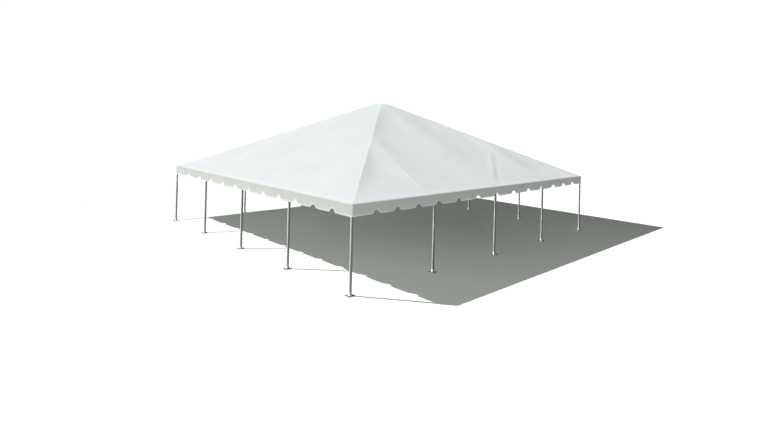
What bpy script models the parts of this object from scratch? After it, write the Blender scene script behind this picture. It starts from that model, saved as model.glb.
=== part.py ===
"""Square frame tent: sixteen legs, eave rails, hip and jack rafters, crown, roof skin and valance.

Metres, +Z up. The origin is on the ground at the middle of the plan. Front is -Y and right is +X.
Everything is made once, for the front side or the front left corner, and turned to the other three.
"""

from math import atan, cos, pi, radians, sin

import bmesh
import bpy
from mathutils import Matrix, Vector

# Driving dimensions
BAY = 3.048                 # leg to leg along a side, ten feet
BAYS = 4                    # bays on each side
EAVE_AXIS = 2.295           # height of the eave rails' centre line
PEAK_AXIS = 5.232           # height where the rafters' centre lines meet
TUBE_RADIUS = 0.038         # legs, rails and rafters, three inches across
SLEEVE_RADIUS = 0.044       # sockets of the fittings
SOCKET = 0.16               # reach of a fitting's socket from where its axes meet
TEE_HALF = 0.14             # half the length of a tee's sleeve along the rail
HIP_SLEEVE_HALF = 0.15      # half the length of the sleeve at a hip rafter's middle
CROWN_SOCKET = 0.36         # reach of the crown's sockets
CROWN_HALF = 0.15           # half the width of the crown's square top plate
FLAT_HALF = 0.16            # half the width of the skin's flat top above that plate
CROWN_PLATE = 0.010         # its thickness
CROWN_DRUM_RADIUS = 0.11
CROWN_DRUM_DEPTH = 0.20
FOOT_WIDTH = 0.20           # base plate, square
FOOT_THICKNESS = 0.008
FOOT_SLEEVE = 0.15          # height of the socket that the leg stands in
SKIN = 0.003                # thickness of the roof skin and the valance
VALANCE_DROP = 0.295        # from the eave rail's centre line to the hem
NOTCH_PITCH = 1.045         # front and back hems: between notches at the side's middle
NOTCH_TIGHTENING = 0.026    # how fast they close up towards the corners
NOTCHES_EACH_WAY = 6        # on either side of the middle one
SIDE_NOTCHES = 12           # left and right hems, counted from the front left and back right corners
SIDE_NOTCH_FIRST = 5.297    # from the side's middle to the first of them
SIDE_NOTCH_PITCH = 0.898
SIDE_NOTCH_WIDENING = 0.0095
NOTCH_HALF = 0.15           # half a notch's width at the hem
NOTCH_FLAT = 0.2            # share of that width that is level at its top
NOTCH_DEPTH = 0.10
PANEL_SAG = 0.055           # the skin's sag in the panels beside the middle rafter
CORNER_SAG = 0.035          # the skin's sag in the panels beside the corners
GAP = 0.0003                # between pieces that touch

# Sizes that follow from them
HALF = BAY * BAYS / 2
SLOPE = (PEAK_AXIS - EAVE_AXIS) / HALF
PITCH = atan(SLOPE)
COVER = SLEEVE_RADIUS + 0.0006      # from a tube's centre line to the skin's inner face
TUBE_SIDES = 12
SLEEVE_SIDES = 16
NOTCH_STEPS = 10
RIM_STEPS = 3
SIDES = ("front", "right", "back", "left")
CORNERS = ("front_left", "front_right", "back_right", "back_left")


def clear_scene():
    for obj in list(bpy.data.objects):
        bpy.data.objects.remove(obj, do_unlink=True)


def make_collection(name):
    collection = bpy.data.collections.new(name)
    bpy.context.scene.collection.children.link(collection)
    return collection


def make_material(name, colour, roughness, metallic):
    material = bpy.data.materials.new(name)
    material.use_nodes = True
    shader = material.node_tree.nodes["Principled BSDF"]
    shader.inputs["Base Color"].default_value = (*colour, 1.0)
    shader.inputs["Roughness"].default_value = roughness
    shader.inputs["Metallic"].default_value = metallic
    return material


def axis_height(t):
    """Height of the frame's centre lines at plan distance t from the middle."""
    return EAVE_AXIS + SLOPE * (HALF - t)


def axis_point(x, y):
    return Vector((x, y, axis_height(max(abs(x), abs(y)))))


def along(start, end, reach):
    """The point at a reach from start towards end."""
    return start + (end - start).normalized() * reach


def tube(start, end, radius, sides):
    """A closed round bar between two points."""
    mesh = bpy.data.meshes.new("tube")
    shape = bmesh.new()
    bmesh.ops.create_cone(shape, cap_ends=True, segments=sides, radius1=radius, radius2=radius,
                          depth=(end - start).length)
    turn = (end - start).to_track_quat("Z", "Y").to_matrix().to_4x4()
    shape.transform(Matrix.Translation((start + end) / 2) @ turn)
    shape.to_mesh(mesh)
    shape.free()
    return mesh


def box(low, high):
    mesh = bpy.data.meshes.new("box")
    shape = bmesh.new()
    size = Vector(high) - Vector(low)
    bmesh.ops.create_cube(shape, size=1.0)
    shape.transform(Matrix.Translation((Vector(low) + Vector(high)) / 2) @ Matrix.Diagonal((*size, 1.0)))
    shape.to_mesh(mesh)
    shape.free()
    return mesh


def ball(centre, radius):
    mesh = bpy.data.meshes.new("ball")
    shape = bmesh.new()
    bmesh.ops.create_uvsphere(shape, u_segments=SLEEVE_SIDES, v_segments=SLEEVE_SIDES // 2, radius=radius)
    shape.transform(Matrix.Translation(centre))
    shape.to_mesh(mesh)
    shape.free()
    return mesh


def combined(name, meshes, cutter=None):
    """One closed mesh: the union of the meshes, less the cutter."""
    base = bpy.data.objects.new(name, meshes[0])
    helpers.objects.link(base)
    steps = [(mesh, "UNION") for mesh in meshes[1:]]
    if cutter:
        steps.append((cutter, "DIFFERENCE"))
    tools = []
    for mesh, operation in steps:
        tool = bpy.data.objects.new("helper", mesh)
        tool.hide_render = True
        tool.display_type = "WIRE"
        helpers.objects.link(tool)
        tools.append(tool)
        modifier = base.modifiers.new("shape", "BOOLEAN")
        modifier.operation = operation
        modifier.solver = "EXACT"
        modifier.object = tool
    depsgraph = bpy.context.evaluated_depsgraph_get()
    mesh = bpy.data.meshes.new_from_object(base.evaluated_get(depsgraph))
    mesh.name = name
    for obj in (base, *tools):
        bpy.data.objects.remove(obj, do_unlink=True)
    return mesh


def shade_round(mesh):
    mesh.shade_smooth()
    mesh.set_sharp_from_angle(angle=radians(40))


def add_part(name, mesh, material, quarter=0):
    """An object in the tent's collection, turned by quarter turns about the middle of the plan."""
    obj = bpy.data.objects.new(name, mesh)
    obj.rotation_euler.z = quarter * pi / 2
    if not mesh.materials:
        mesh.materials.append(material)
    tent.objects.link(obj)
    return obj


def leg_mesh(x, y):
    """A leg with its base plate and the plate's socket."""
    low = Vector((x, y, 0.0))
    half = FOOT_WIDTH / 2
    plate = box((x - half, y - half, 0.0), (x + half, y + half, FOOT_THICKNESS))
    sleeve = tube(low + Vector((0, 0, FOOT_THICKNESS / 2)), low + Vector((0, 0, FOOT_SLEEVE)),
                  SLEEVE_RADIUS, SLEEVE_SIDES)
    post = tube(low + Vector((0, 0, FOOT_SLEEVE / 2)),
                low + Vector((0, 0, EAVE_AXIS - SOCKET - GAP)), TUBE_RADIUS, TUBE_SIDES)
    return combined("leg", [plate, sleeve, post])


def eave_mesh():
    """The front eave rail with its three tees: a leg socket and a rafter socket at each."""
    reach = HALF - SOCKET - GAP
    shapes = [tube(Vector((-reach, -HALF, EAVE_AXIS)), Vector((reach, -HALF, EAVE_AXIS)),
                   TUBE_RADIUS, TUBE_SIDES)]
    for x in (-BAY, 0.0, BAY):
        centre = axis_point(x, -HALF)
        shapes.append(tube(centre - Vector((TEE_HALF, 0, 0)), centre + Vector((TEE_HALF, 0, 0)),
                           SLEEVE_RADIUS, SLEEVE_SIDES))
        shapes.append(tube(centre, centre - Vector((0, 0, SOCKET)), SLEEVE_RADIUS, SLEEVE_SIDES))
        shapes.append(tube(centre, along(centre, axis_point(x, -BAY), SOCKET),
                           SLEEVE_RADIUS, SLEEVE_SIDES))
    return combined("eave_rail", shapes)


def corner_mesh():
    """The front left corner fitting: two rail sockets, a leg socket and a hip rafter socket."""
    centre = axis_point(-HALF, -HALF)
    ends = (centre + Vector((SOCKET, 0, 0)), centre + Vector((0, SOCKET, 0)),
            centre - Vector((0, 0, SOCKET)), along(centre, axis_point(0.0, 0.0), SOCKET))
    shapes = [tube(centre, end, SLEEVE_RADIUS, SLEEVE_SIDES) for end in ends]
    return combined("corner_fitting", [ball(centre, SLEEVE_RADIUS), *shapes])


def hip_mesh():
    """The front left hip rafter with the sleeve at its middle, which takes two jack rafters."""
    corner = axis_point(-HALF, -HALF)
    peak = axis_point(0.0, 0.0)
    middle = axis_point(-BAY, -BAY)
    bar = tube(along(corner, peak, SOCKET + GAP), along(peak, corner, CROWN_SOCKET + GAP),
               TUBE_RADIUS, TUBE_SIDES)
    sleeve = tube(along(middle, corner, HIP_SLEEVE_HALF), along(middle, peak, HIP_SLEEVE_HALF),
                  SLEEVE_RADIUS, SLEEVE_SIDES)
    sockets = [tube(middle, along(middle, axis_point(x, y), SOCKET), SLEEVE_RADIUS, SLEEVE_SIDES)
               for x, y in ((-BAY, -HALF), (-HALF, -BAY))]
    return combined("hip_rafter", [bar, sleeve, *sockets])


def rafter_mesh(x, y_top, top_reach):
    """A rafter from the front eave rail up to plan distance y_top."""
    foot = axis_point(x, -HALF)
    head = axis_point(x, y_top)
    return tube(along(foot, head, SOCKET + GAP), along(head, foot, top_reach + GAP),
                TUBE_RADIUS, TUBE_SIDES)


def skin_height(t):
    """Height of the skin's inner face, without sag, at plan distance t from the middle."""
    return axis_height(max(t, FLAT_HALF)) + COVER / cos(PITCH)


def crown_mesh():
    """The crown: a drum with eight sockets under a square plate that carries the roof's peak."""
    peak = axis_point(0.0, 0.0)
    top = skin_height(0.0) - GAP
    ends = [(x, y) for x in (-HALF, 0, HALF) for y in (-HALF, 0, HALF) if x or y]
    drum = tube(Vector((0, 0, top - CROWN_DRUM_DEPTH)), Vector((0, 0, top - CROWN_PLATE / 2)),
                CROWN_DRUM_RADIUS, 2 * SLEEVE_SIDES)
    sockets = [tube(peak, along(peak, axis_point(x, y), CROWN_SOCKET), SLEEVE_RADIUS, SLEEVE_SIDES)
               for x, y in ends]
    plate = box((-CROWN_HALF, -CROWN_HALF, top - CROWN_PLATE), (CROWN_HALF, CROWN_HALF, top + CROWN_PLATE))
    above = box((-1, -1, top), (1, 1, top + 1))
    return combined("crown_fitting", [drum, plate, *sockets], above)


def sag(s, t):
    """How far the skin sags between the rafters, at distance s along the side and t from the middle."""
    s = abs(s)
    if s > BAY:
        widest = (BAY / 3) ** 3
        return CORNER_SAG * (s - BAY) * (t - s) * (HALF - t) / widest
    widest = 13.0
    return PANEL_SAG * s * (BAY - s) * (t - s) * (HALF - t) / widest


def roof_mesh():
    """The skin's front face: a grid that follows the rafters, sags between them and turns down at the eave."""
    rings = [(0.0, skin_height(0.0)), (FLAT_HALF, skin_height(FLAT_HALF))]
    rings += [(k * BAY / 4, skin_height(k * BAY / 4)) for k in range(1, 2 * BAYS + 1)]
    for k in range(RIM_STEPS + 1):
        angle = (pi / 2 - PITCH) * (1 - k / RIM_STEPS)
        rings.append((HALF + COVER * cos(angle), EAVE_AXIS + COVER * sin(angle)))
    last = len(rings) - 1
    mesh = bpy.data.meshes.new("canopy")
    shape = bmesh.new()
    bmesh.ops.create_grid(shape, x_segments=2 * last, y_segments=2 * last, size=last)
    for face in list(shape.faces):
        ridge = [vert for vert in face.verts if round(abs(vert.co.x)) == round(abs(vert.co.y))]
        if len(ridge) == 2:
            bmesh.ops.connect_verts(shape, verts=ridge)
    centres = [(face, face.calc_center_median()) for face in shape.faces]
    others = [face for face, centre in centres if -centre.y < abs(centre.x)]
    bmesh.ops.delete(shape, geom=others, context="FACES")
    for vert in shape.verts:
        column, row = round(vert.co.x), round(-vert.co.y)
        t, height = rings[row]
        s = rings[abs(column)][0]
        if FLAT_HALF < t < HALF:
            height -= sag(s, t)
        vert.co = (s if column > 0 else -s, -t - GAP, height)
    shape.to_mesh(mesh)
    shape.free()
    return mesh


def front_notches():
    """Notch centres of the front and back hems, closer together towards the corners."""
    count = NOTCHES_EACH_WAY
    return [k * (NOTCH_PITCH - NOTCH_TIGHTENING * abs(k)) for k in range(-count, count + 1)]


def side_notches():
    """Notch centres of the left and right hems, closest together at one corner."""
    centres = [SIDE_NOTCH_FIRST - k * (SIDE_NOTCH_PITCH + SIDE_NOTCH_WIDENING * k) for k in range(SIDE_NOTCHES)]
    return centres[::-1]


def notch_height(u):
    """A notch's height at u, from -1 to 1 across it: a level top between two S-shaped flanks."""
    flank = min(max((abs(u) - NOTCH_FLAT) / (1 - NOTCH_FLAT), 0.0), 1.0)
    return NOTCH_DEPTH * (1 - flank * flank * (3 - 2 * flank))


def valance_mesh(notches):
    """A valance on the front side: a flat strip whose hem has rounded notches between tabs."""
    inner = HALF + COVER
    top = EAVE_AXIS - GAP
    hem = EAVE_AXIS - VALANCE_DROP
    points = [(-inner + GAP, top), (-inner + GAP, hem)]
    for centre in notches:
        for j in range(NOTCH_STEPS + 1):
            u = 2 * j / NOTCH_STEPS - 1
            points.append((centre + u * NOTCH_HALF, hem + notch_height(u)))
    points += [(inner + SKIN, hem), (inner + SKIN, top)]
    curve = bpy.data.curves.new("valance", "CURVE")
    curve.dimensions = "2D"
    curve.fill_mode = "BOTH"
    curve.extrude = SKIN / 2
    outline = curve.splines.new("POLY")
    outline.points.add(len(points) - 1)
    for point, (x, z) in zip(outline.points, points):
        point.co = (x, z, 0.0, 1.0)
    outline.use_cyclic_u = True
    strip = bpy.data.objects.new("valance", curve)
    helpers.objects.link(strip)
    mesh = bpy.data.meshes.new_from_object(strip.evaluated_get(bpy.context.evaluated_depsgraph_get()))
    bpy.data.objects.remove(strip, do_unlink=True)
    shape = bmesh.new()
    shape.from_mesh(mesh)
    bmesh.ops.remove_doubles(shape, verts=shape.verts, dist=GAP / 10)
    upright = Matrix.Rotation(pi / 2, 4, "X")
    shape.transform(Matrix.Translation((0.0, -inner - SKIN / 2, 0.0)) @ upright)
    shape.to_mesh(mesh)
    shape.free()
    mesh.name = "valance"
    return mesh


def build_frame(metal, cast):
    corner_leg = leg_mesh(-HALF, -HALF)
    side_legs = [leg_mesh(x, -HALF) for x in (-BAY, 0.0, BAY)]
    rail = eave_mesh()
    corner = corner_mesh()
    hip = hip_mesh()
    jacks = [rafter_mesh(x, -BAY, SOCKET) for x in (-BAY, BAY)]
    common = rafter_mesh(0.0, 0.0, CROWN_SOCKET)
    crown = crown_mesh()
    for mesh in (corner_leg, *side_legs, rail, corner, hip, *jacks, common, crown):
        shade_round(mesh)
    for quarter, (side, place) in enumerate(zip(SIDES, CORNERS)):
        add_part(f"leg_{place}", corner_leg, metal, quarter)
        for number, mesh in enumerate(side_legs, 1):
            add_part(f"leg_{side}_{number}", mesh, metal, quarter)
        add_part(f"eave_rail_{side}", rail, metal, quarter)
        add_part(f"corner_fitting_{place}", corner, cast, quarter)
        add_part(f"hip_rafter_{place}", hip, metal, quarter)
        for number, mesh in enumerate(jacks, 1):
            add_part(f"jack_rafter_{side}_{number}", mesh, metal, quarter)
        add_part(f"middle_rafter_{side}", common, metal, quarter)
    add_part("crown_fitting", crown, cast)


def build_skin(fabric):
    roof = roof_mesh()
    valances = (valance_mesh(front_notches()), valance_mesh(side_notches()))
    for quarter, side in enumerate(SIDES):
        face = add_part(f"canopy_{side}", roof, fabric, quarter)
        shell = face.modifiers.new("thickness", "SOLIDIFY")
        shell.thickness = SKIN
        shell.offset = 1.0
        add_part(f"valance_{side}", valances[quarter % 2], fabric, quarter)


clear_scene()
tent = make_collection("frame_tent")
helpers = make_collection("helpers")
build_frame(make_material("aluminium_tube", (0.62, 0.63, 0.62), 0.38, 1.0),
            make_material("cast_aluminium", (0.52, 0.53, 0.52), 0.55, 1.0))
build_skin(make_material("white_vinyl", (0.86, 0.87, 0.85), 0.45, 0.0))
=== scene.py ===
"""The square frame tent's looks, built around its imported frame.

Metres, +Z up. The front is -Y, and the photograph shows the front and the left (-X) side.
Whatever repeats on the four sides is made for the front or the front left corner and turned.
"""

from math import atan, cos, hypot, pi, radians, sin, sqrt

import bmesh
import bpy
import numpy as np
from mathutils import Matrix, Vector


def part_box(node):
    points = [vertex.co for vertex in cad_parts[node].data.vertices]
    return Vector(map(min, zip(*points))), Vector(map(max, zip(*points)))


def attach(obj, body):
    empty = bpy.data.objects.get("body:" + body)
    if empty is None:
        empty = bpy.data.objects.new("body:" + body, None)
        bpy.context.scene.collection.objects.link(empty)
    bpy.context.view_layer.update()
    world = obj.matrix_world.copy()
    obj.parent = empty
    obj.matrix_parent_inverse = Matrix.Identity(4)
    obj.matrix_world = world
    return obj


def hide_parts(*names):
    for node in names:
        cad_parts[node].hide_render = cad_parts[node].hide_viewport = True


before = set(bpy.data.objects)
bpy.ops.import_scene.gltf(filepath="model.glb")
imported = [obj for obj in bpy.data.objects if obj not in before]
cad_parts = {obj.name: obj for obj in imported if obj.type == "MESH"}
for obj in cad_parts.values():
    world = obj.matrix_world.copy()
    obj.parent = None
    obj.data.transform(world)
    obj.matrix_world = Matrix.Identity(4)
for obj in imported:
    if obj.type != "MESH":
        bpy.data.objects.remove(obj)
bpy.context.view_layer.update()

SIDES = ("front", "right", "back", "left")
CORNERS = ("front_left", "front_right", "back_right", "back_left")

# Driving dimensions that the frame gives
LEG_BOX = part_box("leg_front_left")
HALF = -(LEG_BOX[0][0] + LEG_BOX[1][0]) / 2     # the plan's middle to a corner leg's axis
BAY = HALF / 2
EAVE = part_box("canopy_front")[0][2]             # height of the eave rails' axis
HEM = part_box("valance_front")[0][2]
FOOT_WIDTH = LEG_BOX[1][0] - LEG_BOX[0][0]

# The same named sizes as in the part's source
PEAK = 5.232                # height where the rafters' axes meet
TUBE = 0.038                # radius of legs, rails and rafters
SLEEVE = 0.044              # radius of the fittings' sockets
SOCKET = 0.16               # a socket's reach from where its axes meet
TEE_HALF = 0.14
HIP_SLEEVE_HALF = 0.15
CROWN_SOCKET = 0.36
FLAT_HALF = 0.16            # half the width of the roof's flat top
FOOT_THICKNESS = 0.008
FOOT_SLEEVE = 0.15
NOTCH_PITCH = 1.045
NOTCH_TIGHTENING = 0.026
NOTCHES_EACH_WAY = 6
SIDE_NOTCHES = 12
SIDE_NOTCH_FIRST = 5.297
SIDE_NOTCH_PITCH = 0.898
SIDE_NOTCH_WIDENING = 0.0095
NOTCH_HALF = 0.15
NOTCH_FLAT = 0.2
NOTCH_DEPTH = 0.10

SLOPE = (PEAK - EAVE) / HALF
PITCH = atan(SLOPE)
COVER = SLEEVE + 0.0006     # a tube's axis to the skin

# Finer sizes, for the looks alone
SKIN = 0.0012               # thickness of the coated fabric
PANEL_SAG = 0.035           # how far the stretched skin sinks between rafters
CORNER_SAG = 0.025
CELLS = 60                  # mesh cells of the roof in one bay
CORNER_ROUND = COVER        # the fabric's radius in plan round a corner
VALANCE_CELL = 0.02
VALANCE_ROWS = 12
HEM_WIDTH = 0.045
HEM_THICKNESS = 0.0036
HIP_TROUGH = 0.055          # how deep the skin dips beside a hip
TROUGH_PLACE = 0.6          # how far from the hip it is deepest
EDGE_BAND = 0.10            # widths of the skin's double-layer strips, coloured paler partly as a painted highlight
HIP_BAND = 0.06
PEAK_PATCH = 0.30           # half the width of the patch on the peak
SEAM = 0.006
OXIDE = 0.35                # how metallic the dulled aluminium still is
CROWN_NECK = 0.034          # radius of the crown's arms under its plate
FLARE = 0.064               # radius of a leg's socket where it flares onto the plate
PIN_HEAD = 0.009
PIN = 0.005                 # radius of the locking pins
EDGE = 0.0015               # bevel on metal edges
ROUND_SIDES = 32

# The photograph's camera, in pixels of its 760 x 428 frame
PHOTO_WIDTH = 760
PHOTO_HEIGHT = 428
FOCAL = 492.3
CENTRE_X = 425.0
CENTRE_Y = 123.2
CAMERA_PLACE = Vector((-13.777, -16.087, 4.420))
CAMERA_HEADING = radians(44.31)     # from +X towards +Y
CAMERA_ROLL = radians(1.5)
SENSOR = 36.0

# Light
LAMP_PLACE = Vector((-15.4, 7.3, 16.2))     # found from the tips of the shadow in the photograph
LAMP_RADIUS = 0.10
LAMP_WATTS = 20000.0        # rated high, so that the renderer samples the even lamps often
FLOOR_LAMP = 68.0
TENT_LAMP = 16.5
TOP_TRAVEL = Vector((-0.05, 0.05, -1.0))
LOW_TRAVEL = Vector((0.92, 0.18, 0.35))
SKY_TRAVEL = Vector((0.0, 0.0, -1.0))
SIDE_TRAVEL = Vector((0.80, -0.60, -0.05))
SKY = (0.97, 1.0, 0.99, 1.0)
SKY_STRENGTH = 0.04
FLOOR_TINT = (0.918, 1.0, 0.887)
FLOOR_GLOW = 0.178          # under the tent's middle; it grows by the slope towards the front left
GLOW_DIP = 0.05             # how much of it the tent takes away at its middle
GLOW_SLOPE = (-0.0104, -0.006, 0.0)
FLOOR_BOUNCE = (0.30, 0.30, 0.29, 1.0)
FLOOR_SHADE = 0.0356        # the floor's paleness for each metre from the lamp
WHITE_FROM = 16.0           # past this distance from the tent's middle the floor turns plain white
WHITE_AT = 24.0


def quarter_turn(number):
    return Matrix.Rotation(number * pi / 2, 4, "Z")


def mesh_object(name, mesh, material, quarter=0):
    """An object that rides on the tent, turned by quarter turns about the plan's middle."""
    obj = bpy.data.objects.new(name, mesh)
    obj.matrix_world = quarter_turn(quarter)
    if not mesh.materials:
        mesh.materials.append(material)
    bpy.context.scene.collection.objects.link(obj)
    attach(obj, "root")
    return obj


def grid_faces(rows, columns, closed=False):
    """The quads over rows of points, whose rows may close on themselves."""
    index = np.arange(rows * columns).reshape(rows, columns)
    if closed:
        index = np.hstack([index, index[:, :1]])
    corners = (index[:-1, :-1], index[:-1, 1:], index[1:, 1:], index[1:, :-1])
    return np.stack([corner.ravel() for corner in corners], axis=1).tolist()


def smooth_mesh(name, points, faces):
    mesh = bpy.data.meshes.new(name)
    mesh.from_pydata(points.reshape(-1, 3).tolist(), [], faces)
    mesh.shade_smooth()
    return mesh


def grid_mesh(name, points, closed=False):
    return smooth_mesh(name, points, grid_faces(*points.shape[:2], closed))


def smooth_step(value):
    value = np.clip(value, 0.0, 1.0)
    return value * value * (3 - 2 * value)


# Materials


def new_material(name, colour, roughness, metallic):
    material = bpy.data.materials.new(name)
    material.use_nodes = True
    shader = material.node_tree.nodes["Principled BSDF"]
    shader.inputs["Base Color"].default_value = (*colour, 1.0)
    shader.inputs["Roughness"].default_value = roughness
    shader.inputs["Metallic"].default_value = metallic
    return material, material.node_tree, shader


def node(tree, kind, **values):
    made = tree.nodes.new(kind)
    for name, value in values.items():
        if name in made.inputs:
            made.inputs[name].default_value = value
        else:
            setattr(made, name, value)
    return made


def noise(tree, place, scale, detail=3.0, roughness=0.55):
    made = node(tree, "ShaderNodeTexNoise", Scale=scale, Detail=detail, Roughness=roughness)
    tree.links.new(place, made.inputs["Vector"])
    return made.outputs["Fac"]


def stretched_place(tree, stretch):
    """Object coordinates, scaled by axis."""
    place = node(tree, "ShaderNodeTexCoord")
    mapping = node(tree, "ShaderNodeMapping", Scale=stretch)
    tree.links.new(place.outputs["Object"], mapping.inputs["Vector"])
    return mapping.outputs["Vector"]


def ranged(tree, value, low, high):
    """A 0.3 to 0.7 noise value spread from low to high."""
    made = node(tree, "ShaderNodeMapRange")
    for name, number in (("From Min", 0.3), ("From Max", 0.7), ("To Min", low), ("To Max", high)):
        made.inputs[name].default_value = number
    tree.links.new(value, made.inputs["Value"])
    return made.outputs["Result"]


def mixed_colour(tree, factor, first, second):
    made = node(tree, "ShaderNodeMix", data_type="RGBA")
    tree.links.new(factor, made.inputs["Factor"])
    made.inputs[6].default_value = (*first, 1.0)
    made.inputs[7].default_value = (*second, 1.0)
    return made.outputs[2]


def bumped(tree, shader, height, strength, distance, under=None):
    """Bump from a height, over the normal of an earlier bump if one is given."""
    made = node(tree, "ShaderNodeBump", Strength=strength, Distance=distance)
    tree.links.new(height, made.inputs["Height"])
    if under:
        tree.links.new(under, made.inputs["Normal"])
    tree.links.new(made.outputs["Normal"], shader.inputs["Normal"])
    return made.outputs["Normal"]


def math(tree, operation, *values):
    made = node(tree, "ShaderNodeMath", operation=operation)
    for socket, value in zip(made.inputs, values):
        if isinstance(value, float):
            socket.default_value = value
        else:
            tree.links.new(value, socket)
    return made.outputs["Value"]


def rising(tree, value, start, end):
    """0 where the value is at start, 1 where it is at end, smooth between."""
    made = node(tree, "ShaderNodeMapRange", interpolation_type="SMOOTHSTEP")
    made.inputs["From Min"].default_value = start
    made.inputs["From Max"].default_value = end
    tree.links.new(value, made.inputs["Value"])
    return made.outputs["Result"]


def vinyl(name, clean, soiled, stretch=(1.0, 1.0, 1.0)):
    """White coated polyester: a satin face over a fine scrim, a little cloudy and soiled."""
    material, tree, shader = new_material(name, clean, 0.46, 0.0)
    place = stretched_place(tree, (1.0, 1.0, 1.0))
    clouds = ranged(tree, noise(tree, stretched_place(tree, stretch), 0.9, detail=5.0), 0.0, 1.0)
    tree.links.new(mixed_colour(tree, clouds, clean, soiled), shader.inputs["Base Color"])
    gloss = ranged(tree, noise(tree, place, 6.0), 0.40, 0.54)
    tree.links.new(gloss, shader.inputs["Roughness"])
    scrim = noise(tree, place, 420.0, detail=1.0)
    bumped(tree, shader, scrim, 0.12, 0.0008)
    return material


def roof_vinyl(clean, soiled, double_layer_and_highlight):
    """The skin's vinyl, paler on its double-layer strips round the edge, over the hips and on the peak: partly the
    double layer, partly a painted highlight.
    """
    material = vinyl("vinyl_roof", clean, soiled)
    tree = material.node_tree
    shader = tree.nodes["Principled BSDF"]
    place = node(tree, "ShaderNodeTexCoord")
    split = node(tree, "ShaderNodeSeparateXYZ")
    tree.links.new(place.outputs["Object"], split.inputs[0])
    across, down = (math(tree, "ABSOLUTE", split.outputs[axis]) for axis in ("X", "Y"))
    out = math(tree, "MAXIMUM", across, down)
    apart = math(tree, "ABSOLUTE", math(tree, "SUBTRACT", across, down))
    edge = rising(tree, out, HALF - EDGE_BAND - SEAM, HALF - EDGE_BAND)
    hips = rising(tree, apart, HIP_BAND + SEAM, HIP_BAND)
    patch = rising(tree, out, PEAK_PATCH + SEAM, PEAK_PATCH)
    strips = math(tree, "MAXIMUM", math(tree, "MAXIMUM", edge, hips), patch)
    cloudy = shader.inputs["Base Color"].links[0].from_socket
    # The strips take a paler colour: partly the double layer, partly a painted highlight.
    colour = node(tree, "ShaderNodeMix", data_type="RGBA")
    tree.links.new(strips, colour.inputs["Factor"])
    tree.links.new(cloudy, colour.inputs[6])
    colour.inputs[7].default_value = (*double_layer_and_highlight, 1.0)
    tree.links.new(colour.outputs[2], shader.inputs["Base Color"])
    scrim = shader.inputs["Normal"].links[0].from_socket
    bumped(tree, shader, strips, 0.5, 0.0012, scrim)
    return material


def dark_steel(name, pale, deep):
    """A very dark steel plate: mottled, with scuffed bright spots."""
    material, tree, shader = new_material(name, deep, 0.55, 0.3)
    place = stretched_place(tree, (1.0, 1.0, 1.0))
    mottle = ranged(tree, noise(tree, place, 22.0, detail=5.0), 0.0, 1.0)
    tree.links.new(mixed_colour(tree, mottle, pale, deep), shader.inputs["Base Color"])
    tree.links.new(ranged(tree, noise(tree, place, 60.0), 0.42, 0.66), shader.inputs["Roughness"])
    bumped(tree, shader, noise(tree, place, 180.0), 0.2, 0.0008)
    return material


def aluminium(name, bright, dull, roughness):
    """Weathered mill-finish aluminium with drawn streaks along +Z and a few dull spots."""
    material, tree, shader = new_material(name, bright, roughness, OXIDE)
    streaks = noise(tree, stretched_place(tree, (60.0, 60.0, 1.5)), 3.0)
    spots = noise(tree, stretched_place(tree, (1.0, 1.0, 1.0)), 14.0, detail=4.0)
    tree.links.new(mixed_colour(tree, ranged(tree, spots, 0.0, 1.0), bright, dull),
                   shader.inputs["Base Color"])
    tree.links.new(ranged(tree, streaks, roughness - 0.07, roughness + 0.09), shader.inputs["Roughness"])
    bumped(tree, shader, streaks, 0.10, 0.0006)
    return material


# The roof skin


def skin_height(t):
    """Height of the skin without sag, at plan distance t from the middle, with a softened flat top."""
    soft = 0.05
    over = np.maximum(t, FLAT_HALF)
    blend = np.maximum(soft - np.abs(t - FLAT_HALF), 0.0) / soft
    return EAVE + SLOPE * (HALF - over - blend * blend * soft / 4) + COVER / cos(PITCH)


def sag(s, t):
    """The skin's sag between the rafters, at s along the side and t from the middle."""
    corner = CORNER_SAG * (s - BAY) * (t - s) * (HALF - t) / (BAY / 3) ** 3
    over_rafter = s * s / (s + 0.7)
    panel = PANEL_SAG * over_rafter * (BAY - s) * (t - s) * (HALF - t) / 13.0
    return np.where(t < HALF, np.where(s > BAY, corner, panel) + trough(s, t), 0.0)


def trough(s, t):
    """The dip beside each hip, where the skin is pulled tight over it."""
    away = (t - s) / sqrt(2) / TROUGH_PLACE
    from_jack = np.hypot(s - BAY, np.minimum(t - BAY, 0.0))
    over_rafters = smooth_step(from_jack / 0.9) * smooth_step(s / 0.9)
    held = smooth_step((HALF - t) / 1.0) * smooth_step((t - 0.3) / 1.6)
    return HIP_TROUGH * away * np.exp(1 - away) * over_rafters * held


def loose(s, t, reach):
    """0 on what holds the skin, 1 further than the reach from it."""
    beside_jack = np.where(t > BAY, np.abs(s - BAY), np.maximum(BAY - s, 0) + BAY)
    nearest = np.minimum.reduce([s, beside_jack, (t - s) / sqrt(2), HALF - t])
    return smooth_step(nearest / reach)


def waves(x, y):
    """A slow unevenness of the tight skin, between about -1 and 1."""
    total = 0.0
    for length, turn, phase, weight in ((2.3, 0.4, 0.9, 0.45), (1.7, 1.9, 2.2, 0.35), (1.1, 1.1, 4.0, 0.25),
                                        (0.8, 2.6, 1.3, 0.2), (0.55, 0.2, 5.1, 0.12)):
        total = total + weight * np.sin(2 * pi / length * (x * cos(turn) + y * sin(turn)) + phase)
    return total


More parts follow.
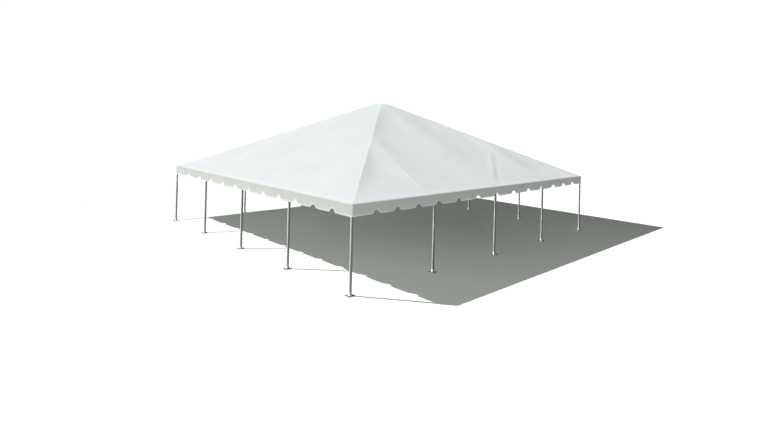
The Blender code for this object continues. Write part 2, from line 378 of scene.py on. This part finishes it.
# Tension folds of each side: start and end as (along, out) in bays from the middle, then width and height
FOLDS = {
    "front": (((0.02, 1.97), (0.85, 1.28), 0.11, 0.020), ((-1.06, 1.98), (-1.04, 1.42), 0.09, 0.014),
              ((1.02, 1.97), (0.98, 1.50), 0.09, 0.010)),
    "left": (((-0.92, 1.98), (-0.97, 1.42), 0.09, 0.012), ((1.00, 1.99), (1.09, 1.50), 0.09, 0.012),
             ((0.05, 1.97), (-0.45, 1.45), 0.12, 0.007)),
    "right": (((0.0, 1.97), (0.70, 1.35), 0.11, 0.014), ((-1.04, 1.98), (-1.0, 1.45), 0.09, 0.011)),
    "back": (((0.0, 1.97), (-0.65, 1.40), 0.11, 0.013), ((1.02, 1.98), (1.05, 1.45), 0.09, 0.011)),
}


def fold(s, t, start, end, width, height):
    """A ridge with a trough beside it, fading at both ends."""
    run = (end[0] - start[0], end[1] - start[1])
    length = hypot(*run)
    u = ((s - start[0]) * run[0] + (t - start[1]) * run[1]) / length ** 2
    across = ((t - start[1]) * run[0] - (s - start[0]) * run[1]) / length
    fade = np.sin(pi * np.clip(u, 0, 1)) ** 0.8
    ridge = np.exp(-(across / width) ** 2) - 0.8 * np.exp(-((across - 1.5 * width) / width) ** 2)
    return height * fade * ridge


def relief(x, y):
    """What the folds and the unevenness add to the skin's height."""
    t = np.maximum(np.abs(x), np.abs(y))
    s = np.minimum(np.abs(x), np.abs(y))
    total = 0.007 * waves(x, y) * loose(s, t, 0.5)
    clear = loose(s, t, 0.12)
    held = smooth_step(np.minimum((t - s) / sqrt(2), HALF - t) / 0.12)
    for number, side in enumerate(SIDES):
        turn = number * pi / 2
        along = x * cos(turn) + y * sin(turn)
        out = x * sin(turn) - y * cos(turn)
        here = out >= np.abs(along)
        for start, end, width, height in FOLDS[side]:
            ridge = fold(along, out, (start[0] * BAY, start[1] * BAY), (end[0] * BAY, end[1] * BAY), width, height)
            total = total + np.where(here, np.where(ridge > 0, ridge * held, ridge * clear), 0.0)
    return total


def round_corner(x, y, outer):
    """Bends the corners of the square of half width outer to CORNER_ROUND in plan."""
    start = outer - CORNER_ROUND
    u = np.clip((np.abs(x) - start) / CORNER_ROUND, 0, None)
    v = np.clip((np.abs(y) - start) / CORNER_ROUND, 0, None)
    near = (u > 0) & (v > 0)
    across = np.where(near, start + CORNER_ROUND * u * np.sqrt(np.clip(1 - v * v / 2, 0, 1)), np.abs(x))
    down = np.where(near, start + CORNER_ROUND * v * np.sqrt(np.clip(1 - u * u / 2, 0, 1)), np.abs(y))
    return np.copysign(across, x), np.copysign(down, y)


def roof_lines():
    """The mesh lines from the middle outwards: their plan distances and heights."""
    cell = BAY / CELLS
    plan = [k * cell for k in range(2 * CELLS - 1)] + [HALF - back for back in (0.06, 0.035, 0.015, 0.0)]
    lines = [(t, float(skin_height(t))) for t in plan]
    steps = 6
    for k in range(steps + 1):
        angle = (pi / 2 - PITCH) * (1 - k / steps)
        lines.append((HALF + COVER * cos(angle), EAVE + COVER * sin(angle)))
    lines.append((HALF + COVER, EAVE - 0.02))
    return np.array(lines)


def roof_faces(count):
    """The quads of a square grid, with those that a hip crosses halved along it."""
    faces = []
    for number, (a, b, c, d) in enumerate(grid_faces(count, count)):
        row, column = divmod(number, count - 1)
        if row == column:
            faces += [(a, b, c), (a, c, d)]
        elif row + column == count - 2:
            faces += [(a, b, d), (b, c, d)]
        else:
            faces.append((a, b, c, d))
    return faces


def make_roof(material):
    lines = roof_lines()
    last = len(lines) - 1
    step = np.arange(-last, last + 1)
    plan = np.sign(step) * lines[np.abs(step), 0]
    x, y = np.meshgrid(plan, plan)
    ring = np.maximum(np.abs(step)[None, :], np.abs(step)[:, None])
    t = np.maximum(np.abs(x), np.abs(y))
    s = np.minimum(np.abs(x), np.abs(y))
    z = lines[ring, 1] - sag(s, t) + np.where(t < HALF, relief(x, y), 0.0) + SKIN
    x, y = round_corner(x, y, HALF + COVER)
    mesh = smooth_mesh("roof_skin", np.stack([x, y, z], axis=-1), roof_faces(len(step)))
    roof = mesh_object("roof_skin", mesh, material)
    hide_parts(*(f"canopy_{side}" for side in SIDES))
    return roof


def surface(mesh):
    return float(sum(face.area for face in mesh.polygons))


# The valances


def valance_path(s, outer):
    """Plan place and outward direction at s along the front valance, from middle to corner seam."""
    straight = outer - CORNER_ROUND
    turn = np.clip((np.abs(s) - straight) / CORNER_ROUND, 0, pi / 4)
    x = np.minimum(np.abs(s), straight) + CORNER_ROUND * np.sin(turn)
    y = -(outer - CORNER_ROUND) - CORNER_ROUND * np.cos(turn)
    side = np.where(s < 0, -1.0, 1.0)
    return side * x, y, side * np.sin(turn), -np.cos(turn)


def valance_reach(outer):
    return outer - CORNER_ROUND + CORNER_ROUND * pi / 4


def notch_centres(number):
    """Notch centres along a side's hem, as the part's source places them."""
    if number % 2:
        return [SIDE_NOTCH_FIRST - k * (SIDE_NOTCH_PITCH + SIDE_NOTCH_WIDENING * k) for k in range(SIDE_NOTCHES)]
    ways = range(-NOTCHES_EACH_WAY, NOTCHES_EACH_WAY + 1)
    return [k * (NOTCH_PITCH - NOTCH_TIGHTENING * abs(k)) for k in ways]


def hem_height(s, notches):
    """The hem's height at s: level tabs with rounded notches between them."""
    away = np.min(np.abs(s[..., None] - np.array(notches)), axis=-1) / NOTCH_HALF
    return HEM + NOTCH_DEPTH * (1 - smooth_step((away - NOTCH_FLAT) / (1 - NOTCH_FLAT)))


def valance_lean(s, drop, phase):
    """How far the valance stands out at s, from 0 at its top (drop 0) to its hem (drop 1)."""
    ends = smooth_step((HALF - np.abs(s)) / 0.4)
    wave = 0.5 * np.cos(2 * pi * s / 0.9 + pi) + 0.35 * np.sin(2 * pi * s / 1.9 + phase)
    wave = wave + 0.2 * np.sin(2 * pi * s / 0.37 + 2 * phase)
    return drop ** 1.6 * (0.006 + 0.010 * ends * wave)


def valance_points(s, height, outer, phase):
    """Points of the valance's face at s and height."""
    top = EAVE + 0.012
    drop = np.clip((top - height) / (top - HEM), 0, 1)
    x, y, out_x, out_y = valance_path(s, outer)
    lean = valance_lean(s, drop, phase)
    return np.stack([x + out_x * lean, y + out_y * lean, height + 0 * s], axis=-1)


def make_valance(number, side, cloth, tape):
    outer = HALF + COVER + 2 * SKIN
    phase = 1.7 * number
    reach = valance_reach(outer)
    s = np.linspace(-reach, reach, 2 * round(reach / VALANCE_CELL) + 1)
    notches = notch_centres(number)
    drop = np.linspace(0, 1, VALANCE_ROWS + 1)[:, None]
    top = EAVE + 0.012
    height = top - drop * (top - hem_height(s, notches)[None, :])
    points = valance_points(np.broadcast_to(s, height.shape), height, outer, phase)
    valance = mesh_object(f"valance_cloth_{side}", grid_mesh("valance_cloth", points), cloth, number)
    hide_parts(f"valance_{side}")
    hem = mesh_object(f"valance_hem_{side}", hem_mesh(s, notches, outer, phase), tape, number)


def hem_mesh(s, notches, outer, phase):
    """The folded hem: a flat tape with rounded edges that follows the notches."""
    height = hem_height(s, notches)
    rise = np.gradient(height, s)
    steep = np.sqrt(1 + rise * rise)
    rows = []
    for angle in np.linspace(0, 2 * pi, 10, endpoint=False):
        inward = HEM_WIDTH / 2 * (1 + np.sign(cos(angle)) * abs(cos(angle)) ** 0.5)
        out = HEM_THICKNESS / 2 * np.sign(sin(angle)) * abs(sin(angle)) ** 0.5
        place = valance_points(s - inward * rise / steep, height + inward / steep, outer, phase)
        x, y, out_x, out_y = valance_path(s, outer)
        place[:, 0] += out_x * out
        place[:, 1] += out_y * out
        rows.append(place)
    return grid_mesh("valance_hem", np.stack(rows, axis=1), closed=True)


# Metal pieces


def axis_point(x, y):
    """The point of the frame's centre lines above plan point (x, y)."""
    return Vector((x, y, EAVE + SLOPE * (HALF - max(abs(x), abs(y)))))


def along(start, end, reach):
    return start + (end - start).normalized() * reach


def turned(shape, start, end, profile, sides=ROUND_SIDES):
    """A turned form from start towards end: rings at (distance along, radius), closed at both ends."""
    turn = (end - start).to_track_quat("Z", "Y")
    rings = []
    for distance, radius in profile:
        angles = [2 * pi * k / sides for k in range(sides)]
        spots = [Vector((radius * cos(a), radius * sin(a), distance)) for a in angles]
        rings.append([shape.verts.new(start + turn @ spot) for spot in spots])
    for lower, upper in zip(rings, rings[1:]):
        for k in range(sides):
            after = (k + 1) % sides
            shape.faces.new((lower[k], lower[after], upper[after], upper[k]))
    shape.faces.new(rings[0][::-1])
    shape.faces.new(rings[-1])


def tube(shape, start, end, radius=TUBE):
    length = (end - start).length
    turned(shape, start, end, ((0, radius - EDGE), (EDGE, radius), (length - EDGE, radius), (length, radius - EDGE)))


def sleeve(shape, start, end):
    """A socket with a thick lip at its mouth, which is at end."""
    length = (end - start).length
    turned(shape, start, end, ((0, SLEEVE - EDGE), (length - 0.016, SLEEVE - EDGE), (length - 0.014, SLEEVE),
                               (length - EDGE, SLEEVE), (length, SLEEVE - EDGE), (length, TUBE + 0.0005),
                               (length - 0.01, TUBE)))


def ring(shape, centre, axis, radius, wire, turns=20, sides=8):
    """A wire ring round an axis."""
    turn = axis.to_track_quat("Z", "Y")
    loops = []
    for k in range(turns):
        a = 2 * pi * k / turns
        loop = []
        for j in range(sides):
            b = 2 * pi * j / sides
            reach = radius + wire * cos(b)
            loop.append(shape.verts.new(centre + turn @ Vector((reach * cos(a), reach * sin(a), wire * sin(b)))))
        loops.append(loop)
    for k in range(turns):
        for j in range(sides):
            one, two = loops[k], loops[(k + 1) % turns]
            shape.faces.new((one[j], two[j], two[(j + 1) % sides], one[(j + 1) % sides]))


def locking_pin(shape, centre, axis, up):
    """A pin let into a socket, with a round head on the axis's side and a pull ring through it."""
    axis = axis.normalized()
    head = SLEEVE + 0.008
    turned(shape, centre, centre + axis, ((0, PIN), (head - 0.006, PIN), (head - 0.005, PIN_HEAD),
                                          (head - 0.001, PIN_HEAD), (head, PIN_HEAD - 0.002)), sides=16)
    ring(shape, centre + axis * (head - 0.003) - up.normalized() * 0.016, axis.cross(up), 0.018, 0.0015)


def inward(centre, axis):
    """Square to an axis, down and towards the plan's middle: away from the skin."""
    aim = Vector((-centre.x, -centre.y, 0)).normalized() - Vector((0, 0, 1))
    axis = axis.normalized()
    return (aim - axis * aim.dot(axis)).normalized()


def finished_mesh(name, shape):
    bmesh.ops.recalc_face_normals(shape, faces=shape.faces)
    mesh = bpy.data.meshes.new(name)
    shape.to_mesh(mesh)
    shape.free()
    mesh.shade_smooth()
    mesh.set_sharp_from_angle(angle=radians(40))
    return mesh


def rounded_square(half, radius, steps=6):
    points = []
    for quarter in range(4):
        for k in range(steps + 1):
            a = pi / 2 * (quarter + k / steps)
            corner = pi / 4 + quarter * pi / 2
            centre = (half - radius) * sqrt(2)
            points.append((centre * cos(corner) + radius * cos(a), centre * sin(corner) + radius * sin(a)))
    return points


def base_plate(shape):
    """A square plate with rounded corners and a stake hole near each."""
    outlines = [rounded_square(FOOT_WIDTH / 2, 0.018)]
    for x in (-1, 1):
        for y in (-1, 1):
            centre = (x * 0.072, y * 0.072)
            outlines.append([(centre[0] + 0.010 * cos(2 * pi * k / 16), centre[1] + 0.010 * sin(2 * pi * k / 16))
                             for k in range(16)])
    plate = bmesh.new()
    for outline in outlines:
        verts = [plate.verts.new((x, y, 0.0)) for x, y in outline]
        for one, two in zip(verts, verts[1:] + verts[:1]):
            plate.edges.new((one, two))
    bmesh.ops.triangle_fill(plate, edges=plate.edges, use_beauty=True)
    top = bmesh.ops.extrude_face_region(plate, geom=plate.faces[:])
    raised = [part for part in top["geom"] if isinstance(part, bmesh.types.BMVert)]
    bmesh.ops.translate(plate, verts=raised, vec=(0, 0, FOOT_THICKNESS))
    rim = [edge for edge in plate.edges if edge.verts[0].co.z > 0 and edge.verts[1].co.z > 0
           and edge.calc_face_angle(0) > 1]
    bmesh.ops.bevel(plate, geom=rim, offset=EDGE, segments=2, profile=0.5, affect="EDGES")
    mesh = bpy.data.meshes.new("plate")
    plate.to_mesh(mesh)
    plate.free()
    shape.from_mesh(mesh)
    bpy.data.meshes.remove(mesh)


def leg_mesh():
    """A leg on the plan's middle: tube, plate, pin, and a socket that flares onto the plate."""
    shape = bmesh.new()
    tube(shape, Vector((0, 0, FOOT_SLEEVE / 2)), Vector((0, 0, EAVE - SOCKET - 0.0003)))
    tube_faces = len(shape.faces)
    base_plate(shape)
    locking_pin(shape, Vector((0, 0, 0.118)), Vector((-0.35, -1, 0)), Vector((0, 0, 1)))
    steel_faces = len(shape.faces)
    low = Vector((0, 0, FOOT_THICKNESS))
    high = Vector((0, 0, 1))
    height = FOOT_SLEEVE - FOOT_THICKNESS
    turned(shape, low, high, ((-0.002, FLARE), (0.002, FLARE), (0.010, FLARE - 0.010), (0.024, SLEEVE + 0.004),
                              (0.036, SLEEVE - EDGE), (height - 0.016, SLEEVE - EDGE), (height - 0.014, SLEEVE),
                              (height - EDGE, SLEEVE), (height, SLEEVE - EDGE), (height, TUBE + 0.0005),
                              (height - 0.01, TUBE)))
    for number, face in enumerate(shape.faces):
        face.material_index = (number >= tube_faces) + (number >= steel_faces)
    return finished_mesh("leg", shape)


def make_legs(metal, steel, cast):
    mesh = leg_mesh()
    # The third material, on the flared sockets, is the tubes' aluminium coloured much paler: a painted highlight.
    for material in (metal, steel, cast):
        mesh.materials.append(material)
    for number, (side, corner) in enumerate(zip(SIDES, CORNERS)):
        places = [(f"leg_{corner}", -HALF)]
        places += [(f"leg_{side}_{k + 1}", (k - 1) * BAY) for k in range(3)]
        for name, x in places:
            leg = mesh_object(f"{name}_post", mesh, metal)
            leg.matrix_world = quarter_turn(number) @ Matrix.Translation((x, -HALF, 0.0))
            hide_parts(name)


def eave_mesh():
    """The front eave rail with its three tees and their pins."""
    shape = bmesh.new()
    reach = HALF - SOCKET - 0.0003
    tube(shape, Vector((-reach, -HALF, EAVE)), Vector((reach, -HALF, EAVE)))
    for x in (-BAY, 0.0, BAY):
        centre = axis_point(x, -HALF)
        uphill = along(centre, axis_point(x, -BAY), SOCKET)
        for sign in (-1, 1):
            sleeve(shape, centre, centre + Vector((sign * TEE_HALF, 0, 0)))
            rail = Vector((sign * 0.10, 0, 0))
            locking_pin(shape, centre + rail, inward(centre, rail), rail)
        sleeve(shape, centre, centre - Vector((0, 0, SOCKET)))
        sleeve(shape, centre, uphill)
        locking_pin(shape, centre - Vector((0, 0, 0.12)), Vector((0, 1, 0)), Vector((0, 0, 1)))
        locking_pin(shape, along(centre, uphill, 0.12), Vector((1, 0, 0)), centre - uphill)
    return finished_mesh("eave_rail", shape)


def corner_mesh():
    """The front left corner fitting."""
    shape = bmesh.new()
    centre = axis_point(-HALF, -HALF)
    hip = along(centre, axis_point(0, 0), SOCKET)
    ends = (centre + Vector((SOCKET, 0, 0)), centre + Vector((0, SOCKET, 0)), centre - Vector((0, 0, SOCKET)), hip)
    for end in ends:
        sleeve(shape, centre, end)
        locking_pin(shape, along(centre, end, 0.12), inward(centre, end - centre), end - centre)
    bmesh.ops.create_uvsphere(shape, u_segments=24, v_segments=12, radius=SLEEVE - 0.004,
                              matrix=Matrix.Translation(centre))
    return finished_mesh("corner_fitting", shape)


def hip_mesh():
    """The front left hip rafter with its middle sleeve and two jack sockets."""
    shape = bmesh.new()
    corner = axis_point(-HALF, -HALF)
    peak = axis_point(0, 0)
    middle = axis_point(-BAY, -BAY)
    tube(shape, along(corner, peak, SOCKET), along(peak, corner, CROWN_SOCKET))
    for end in (corner, peak):
        sleeve(shape, middle, along(middle, end, HIP_SLEEVE_HALF))
        locking_pin(shape, along(middle, end, 0.11), inward(middle, corner - peak), corner - peak)
    for x, y in ((-BAY, -HALF), (-HALF, -BAY)):
        end = along(middle, axis_point(x, y), SOCKET)
        sleeve(shape, middle, end)
        locking_pin(shape, along(middle, end, 0.12), (end - middle).cross(Vector((0, 0, 1))), end - middle)
    return finished_mesh("hip_rafter", shape)


def rafter_mesh(x, y_top, top_reach):
    shape = bmesh.new()
    foot = axis_point(x, -HALF)
    head = axis_point(x, y_top)
    tube(shape, along(foot, head, SOCKET), along(head, foot, top_reach))
    return finished_mesh("rafter", shape)


def crown_mesh():
    """The crown: a drum with eight sockets under a rounded plate that carries the roof's peak."""
    shape = bmesh.new()
    peak = axis_point(0, 0)
    top = float(skin_height(0.0)) - 0.0015
    half = 0.142
    turned(shape, Vector((0, 0, top - 0.2)), Vector((0, 0, top)),
           ((0, 0.104), (0.004, 0.110), (0.012, 0.110), (0.016, 0.107), (0.18, 0.107), (0.184, 0.11), (0.196, 0.11)),
           sides=48)
    for x in (-HALF, 0, HALF):
        for y in (-HALF, 0, HALF):
            if x or y:
                outer = axis_point(x, y)
                end = along(peak, outer, CROWN_SOCKET)
                under_plate = hypot(x, y) / HALF * FLAT_HALF / cos(PITCH)
                socket = along(peak, outer, 1.4 * under_plate)
                turned(shape, along(peak, outer, under_plate), socket,
                       ((0, CROWN_NECK), ((socket - peak).length - under_plate + EDGE, CROWN_NECK)))
                sleeve(shape, socket, end)
                locking_pin(shape, along(peak, outer, CROWN_SOCKET - 0.05), (end - peak).cross(Vector((0, 0, 1))),
                            end - peak)
    layers = ((half - 0.006, -0.010), (half, -0.006), (half, -0.004), (half - 0.004, -0.001), (half - 0.010, 0.0))
    loops = [[shape.verts.new((x, y, top + z)) for x, y in rounded_square(width, 0.02)] for width, z in layers]
    for lower, upper in zip(loops, loops[1:]):
        for k in range(len(lower)):
            after = (k + 1) % len(lower)
            shape.faces.new((lower[k], lower[after], upper[after], upper[k]))
    shape.faces.new(loops[0][::-1])
    shape.faces.new(loops[-1])
    return finished_mesh("crown_fitting", shape)


def make_frame(metal, cast, steel, socket):
    make_legs(metal, steel, socket)
    eave = eave_mesh()
    corner = corner_mesh()
    hip = hip_mesh()
    jacks = [rafter_mesh(x, -BAY, SOCKET) for x in (-BAY, BAY)]
    middle = rafter_mesh(0.0, 0.0, CROWN_SOCKET)
    for number, (side, place) in enumerate(zip(SIDES, CORNERS)):
        pieces = [(f"eave_rail_{side}", eave, metal, "tube"), (f"corner_fitting_{place}", corner, cast, "fitting"),
                  (f"hip_rafter_{place}", hip, metal, "tube"), (f"middle_rafter_{side}", middle, metal, "tube")]
        pieces += [(f"jack_rafter_{side}_{k + 1}", mesh, metal, "tube") for k, mesh in enumerate(jacks)]
        for name, mesh, material, slot in pieces:
            piece = mesh_object(f"{name}_fine", mesh, material, number)
            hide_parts(name)
    crown = mesh_object("crown_fitting_fine", crown_mesh(), cast)
    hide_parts("crown_fitting")


# Camera, floor and light


def make_camera():
    data = bpy.data.cameras.new("camera")
    data.sensor_width = SENSOR
    data.lens = FOCAL / PHOTO_WIDTH * SENSOR
    data.shift_x = (PHOTO_WIDTH / 2 - CENTRE_X) / PHOTO_WIDTH
    data.shift_y = (CENTRE_Y - PHOTO_HEIGHT / 2) / PHOTO_WIDTH
    data.clip_start = 0.1
    data.clip_end = 2000.0
    camera = bpy.data.objects.new("camera", data)
    ahead = Vector((cos(CAMERA_HEADING), sin(CAMERA_HEADING), 0.0))
    level = Vector((sin(CAMERA_HEADING), -cos(CAMERA_HEADING), 0.0))
    up = Vector((0.0, 0.0, 1.0))
    right = cos(CAMERA_ROLL) * level + sin(CAMERA_ROLL) * up
    top = cos(CAMERA_ROLL) * up - sin(CAMERA_ROLL) * level
    turn = Matrix((right, top, -ahead)).transposed().to_4x4()
    camera.matrix_world = Matrix.Translation(CAMERA_PLACE) @ turn
    bpy.context.scene.collection.objects.link(camera)
    bpy.context.scene.camera = camera


def camera_only(tree, unseen, seen):
    """What the camera sees, apart from what lights the rest."""
    path = node(tree, "ShaderNodeLightPath")
    mix = node(tree, "ShaderNodeMixShader")
    tree.links.new(path.outputs["Is Camera Ray"], mix.inputs[0])
    tree.links.new(unseen, mix.inputs[1])
    tree.links.new(seen, mix.inputs[2])
    return mix.outputs[0]


def distance_from(tree, place):
    """Distance of the shaded point from a place, in the object's own metres."""
    coordinates = node(tree, "ShaderNodeTexCoord")
    measure = node(tree, "ShaderNodeVectorMath", operation="DISTANCE")
    tree.links.new(coordinates.outputs["Object"], measure.inputs[0])
    measure.inputs[1].default_value = place
    return measure.outputs["Value"]


def floor_glow(tree):
    """The light that reaches the floor in the tent's shadow, as a slope over the ground."""
    slope = node(tree, "ShaderNodeVectorMath", operation="DOT_PRODUCT")
    tree.links.new(node(tree, "ShaderNodeTexCoord").outputs["Object"], slope.inputs[0])
    slope.inputs[1].default_value = GLOW_SLOPE
    level = math(tree, "ADD", slope.outputs["Value"], FLOOR_GLOW - GLOW_DIP)
    open_air = rising(tree, distance_from(tree, (1.0, -2.5, 0.0)), 1.0, 8.0)
    level = math(tree, "MULTIPLY_ADD", open_air, GLOW_DIP, level)
    return math(tree, "MAXIMUM", level, 0.10)


def make_floor():
    """A pale floor, evenly white under the lamp and grey in the tent's shadow, that lights the tent little."""
    half = 900.0
    mesh = bpy.data.meshes.new("floor")
    mesh.from_pydata([(-half, -half, 0), (half, -half, 0), (half, half, 0), (-half, half, 0)], [], [(0, 1, 2, 3)])
    floor = bpy.data.objects.new("floor", mesh)
    floor.location.z = -0.001
    material, tree, _ = new_material("floor", (0.80, 0.80, 0.79), 0.9, 0.0)
    paint = node(tree, "ShaderNodeBsdfDiffuse")
    even = math(tree, "MULTIPLY", distance_from(tree, LAMP_PLACE), FLOOR_SHADE)
    even = math(tree, "POWER", even, 1.5)
    tree.links.new(math(tree, "MAXIMUM", math(tree, "MINIMUM", even, 1.6), 0.52), paint.inputs["Color"])
    far = rising(tree, distance_from(tree, (0.0, 0.0, 0.0)), WHITE_FROM, WHITE_AT)
    glow = node(tree, "ShaderNodeEmission")
    tree.links.new(mixed_colour(tree, far, FLOOR_TINT, (1.0, 1.0, 1.0)), glow.inputs["Color"])
    tree.links.new(math(tree, "MAXIMUM", floor_glow(tree), far), glow.inputs["Strength"])
    both = node(tree, "ShaderNodeAddShader")
    tree.links.new(glow.outputs[0], both.inputs[0])
    tree.links.new(paint.outputs[0], both.inputs[1])
    dim = node(tree, "ShaderNodeBsdfDiffuse", Color=FLOOR_BOUNCE)
    surface = camera_only(tree, dim.outputs[0], both.outputs[0])
    tree.links.new(surface, tree.nodes["Material Output"].inputs["Surface"])
    mesh.materials.append(material)
    bpy.context.scene.collection.objects.link(floor)
    return floor


def add_light(name, data, place, receivers, blockers=None):
    light = bpy.data.objects.new(name, data)
    light.location = place
    light.light_linking.receiver_collection = receivers
    light.light_linking.blocker_collection = blockers
    bpy.context.scene.collection.objects.link(light)
    return light


def make_sun(name, travel, strength, angle, colour, receivers, blockers=None):
    data = bpy.data.lights.new(name, "SUN")
    data.energy = strength
    data.angle = radians(angle)
    data.color = colour
    sun = add_light(name, data, -travel.normalized() * 30, receivers, blockers)
    sun.rotation_mode = "QUATERNION"
    sun.rotation_quaternion = travel.to_track_quat("-Z", "Y")


def make_lamp(name, power, fades, receivers, blockers=None):
    """A lamp at LAMP_PLACE, whose light fades with distance or stays even."""
    data = bpy.data.lights.new(name, "POINT")
    data.shadow_soft_size = LAMP_RADIUS
    data.energy = power
    if not fades:
        data.energy = LAMP_WATTS
        data.use_nodes = True
        falloff = node(data.node_tree, "ShaderNodeLightFalloff", Strength=1.0)
        strength = math(data.node_tree, "MULTIPLY", falloff.outputs["Constant"], power / LAMP_WATTS)
        data.node_tree.links.new(strength, data.node_tree.nodes["Emission"].inputs["Strength"])
    add_light(name, data, LAMP_PLACE, receivers, blockers)


def make_world():
    """A dim even sky that the camera sees as white."""
    world = bpy.data.worlds.new("studio")
    bpy.context.scene.world = world
    world.use_nodes = True
    tree = world.node_tree
    sky = tree.nodes["Background"]
    sky.inputs["Color"].default_value = SKY
    sky.inputs["Strength"].default_value = SKY_STRENGTH
    white = node(tree, "ShaderNodeBackground", Color=(1, 1, 1, 1), Strength=1.05)
    surface = camera_only(tree, sky.outputs[0], white.outputs[0])
    tree.links.new(surface, tree.nodes["World Output"].inputs["Surface"])


def lit_group(objects):
    group = bpy.data.collections.new("lit")
    for obj in objects:
        group.objects.link(obj)
    return group


def light_scene(floor):
    """One lamp for all; the floor and the tent take it at their own strengths, as in the picture."""
    pieces = [obj for obj in bpy.context.scene.objects if obj.type == "MESH" and obj != floor]
    valances = [obj for obj in pieces if obj.name.startswith("valance_")]
    metal = [obj for obj in pieces if obj.name.endswith(("_fine", "_post"))]
    cloth = valances + [obj for obj in pieces if obj.name.startswith("roof_")]
    groups = ([floor], pieces, cloth, valances, metal)
    ground, tent, cloth, valances, metal = (lit_group(group) for group in groups)
    make_lamp("lamp_on_floor", FLOOR_LAMP, False, ground)
    make_lamp("lamp_on_tent", TENT_LAMP, False, tent)
    make_sun("top_fill", TOP_TRAVEL, 1.95, 60.0, (0.96, 1.0, 1.01), tent)
    make_sun("sky_on_cloth", SKY_TRAVEL, 0.50, 180.0, SKY[:3], cloth)
    make_sun("low_fill", LOW_TRAVEL, 1.85, 40.0, (1.0, 1.0, 0.96), valances, tent)
    make_sun("side_light", SIDE_TRAVEL, 3.7, 10.0, (1.0, 1.0, 0.98), metal, tent)
    make_world()


def main():
    make_camera()
    bpy.context.scene.view_settings.view_transform = "Standard"
    # The third colour, on the skin's double-layer strips, is paler partly as a painted highlight.
    cloth = roof_vinyl((0.865, 0.885, 0.88), (0.835, 0.855, 0.845), (0.885, 0.905, 0.90))
    # Painted shade: the valances are the roof's fabric, coloured darker and greener than it.
    skirt_painted_shade = vinyl("vinyl_valance", (0.78, 0.81, 0.77), (0.73, 0.765, 0.725), (1.0, 1.0, 0.15))
    # The hem tape is paler partly as doubled fabric and partly as a painted highlight along the hem.
    tape = vinyl("vinyl_hem_painted_highlight", (0.93, 0.945, 0.92), (0.88, 0.90, 0.87))
    metal = aluminium("aluminium_tube", (0.58, 0.59, 0.585), (0.48, 0.49, 0.485), 0.34)
    cast = aluminium("aluminium_cast", (0.62, 0.63, 0.63), (0.50, 0.51, 0.51), 0.50)
    steel = dark_steel("steel_plate", (0.17, 0.175, 0.175), (0.10, 0.105, 0.105))
    # Painted highlight: the legs' flared sockets are the tubes' aluminium, coloured much paler.
    socket = aluminium("aluminium_socket_painted_highlight", (0.88, 0.89, 0.885), (0.76, 0.77, 0.765), 0.45)
    make_roof(cloth)
    for number, side in enumerate(SIDES):
        make_valance(number, side, skirt_painted_shade, tape)
    make_frame(metal, cast, steel, socket)
    light_scene(make_floor())


main()
